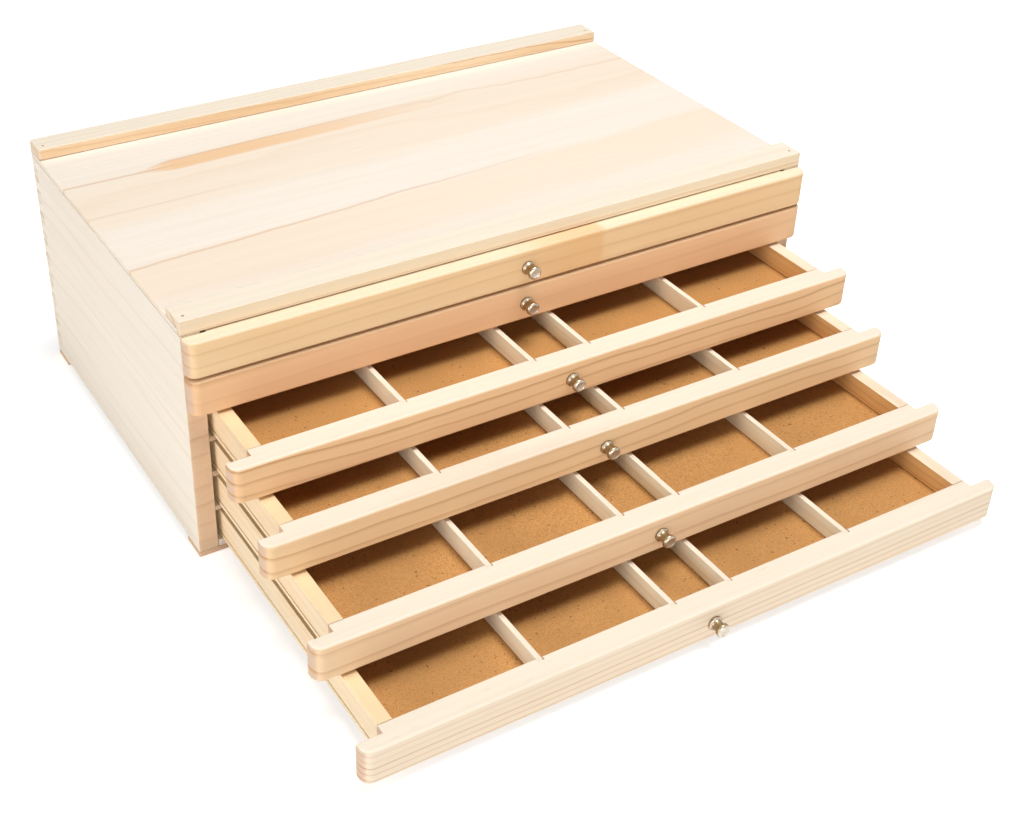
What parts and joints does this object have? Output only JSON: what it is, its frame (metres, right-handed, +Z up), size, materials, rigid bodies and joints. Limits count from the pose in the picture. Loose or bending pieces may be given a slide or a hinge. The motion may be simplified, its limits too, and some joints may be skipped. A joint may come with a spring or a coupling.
{
  "type": "brush storage box",
  "caption": "Low pine cabinet of shallow sliding drawers for brushes and paints, each with dividers and a small metal knob, some drawn out in steps.",
  "frame": {"origin": "centre of the underside of the whole object, as it stands with its drawers drawn out", "axes": "+Z up, the drawers open towards -Y, +X to the right of someone facing the drawer fronts"},
  "size_m": [0.4, 0.4336, 0.1524],
  "materials": {
    "pine": "bare planed pine",
    "pine_front": "bare sanded pine with eased edges",
    "hardboard": "smooth side of bare hardboard",
    "knob_nickel": "satin nickel",
    "brad_steel": "dull steel"
  },
  "bodies": {
    "cabinet": {"left_side_panel": "pine", "right_side_panel": "pine", "back_panel": "pine", "top_board": "pine", "bottom_board": "pine", "front_rail": "pine", "back_rail": "pine", "front_foot": "pine", "back_foot": "pine", "left_runner_1": "pine", "left_runner_2": "pine", "left_runner_3": "pine", "left_runner_4": "pine", "left_runner_5": "pine", "right_runner_1": "pine", "right_runner_2": "pine", "right_runner_3": "pine", "right_runner_4": "pine", "right_runner_5": "pine", "front_left_brad": "brad_steel", "front_right_brad": "brad_steel", "back_left_brad": "brad_steel", "back_right_brad": "brad_steel"},
    "drawer_1": {"drawer_1_front": "pine_front", "drawer_1_left_side": "pine", "drawer_1_right_side": "pine", "drawer_1_divider_frame": "pine", "drawer_1_bottom": "hardboard", "drawer_1_knob": "knob_nickel"},
    "drawer_2": {"drawer_2_front": "pine_front", "drawer_2_left_side": "pine", "drawer_2_right_side": "pine", "drawer_2_divider_frame": "pine", "drawer_2_bottom": "hardboard", "drawer_2_knob": "knob_nickel"},
    "drawer_3": {"drawer_3_front": "pine_front", "drawer_3_left_side": "pine", "drawer_3_right_side": "pine", "drawer_3_divider_frame": "pine", "drawer_3_bottom": "hardboard", "drawer_3_knob": "knob_nickel"},
    "drawer_4": {"drawer_4_front": "pine_front", "drawer_4_left_side": "pine", "drawer_4_right_side": "pine", "drawer_4_divider_frame": "pine", "drawer_4_bottom": "hardboard", "drawer_4_knob": "knob_nickel"},
    "drawer_5": {"drawer_5_front": "pine_front", "drawer_5_left_side": "pine", "drawer_5_right_side": "pine", "drawer_5_divider_frame": "pine", "drawer_5_bottom": "hardboard", "drawer_5_knob": "knob_nickel"},
    "drawer_6": {"drawer_6_front": "pine_front", "drawer_6_left_side": "pine", "drawer_6_right_side": "pine", "drawer_6_divider_frame": "pine", "drawer_6_bottom": "hardboard", "drawer_6_knob": "knob_nickel"}
  },
  "joints": [
    {"name": "drawer_1_slide", "type": "slide", "parent": "cabinet", "child": "drawer_1", "axis": [0, -1, 0], "range_m": [0, 0.2]},
    {"name": "drawer_2_slide", "type": "slide", "parent": "cabinet", "child": "drawer_2", "axis": [0, -1, 0], "range_m": [0, 0.2]},
    {"name": "drawer_3_slide", "type": "slide", "parent": "cabinet", "child": "drawer_3", "axis": [0, -1, 0], "range_m": [-0.048, 0.152]},
    {"name": "drawer_4_slide", "type": "slide", "parent": "cabinet", "child": "drawer_4", "axis": [0, -1, 0], "range_m": [-0.083, 0.117]},
    {"name": "drawer_5_slide", "type": "slide", "parent": "cabinet", "child": "drawer_5", "axis": [0, -1, 0], "range_m": [-0.135, 0.065]},
    {"name": "drawer_6_slide", "type": "slide", "parent": "cabinet", "child": "drawer_6", "axis": [0, -1, 0], "range_m": [-0.183, 0.017]}
  ]
}
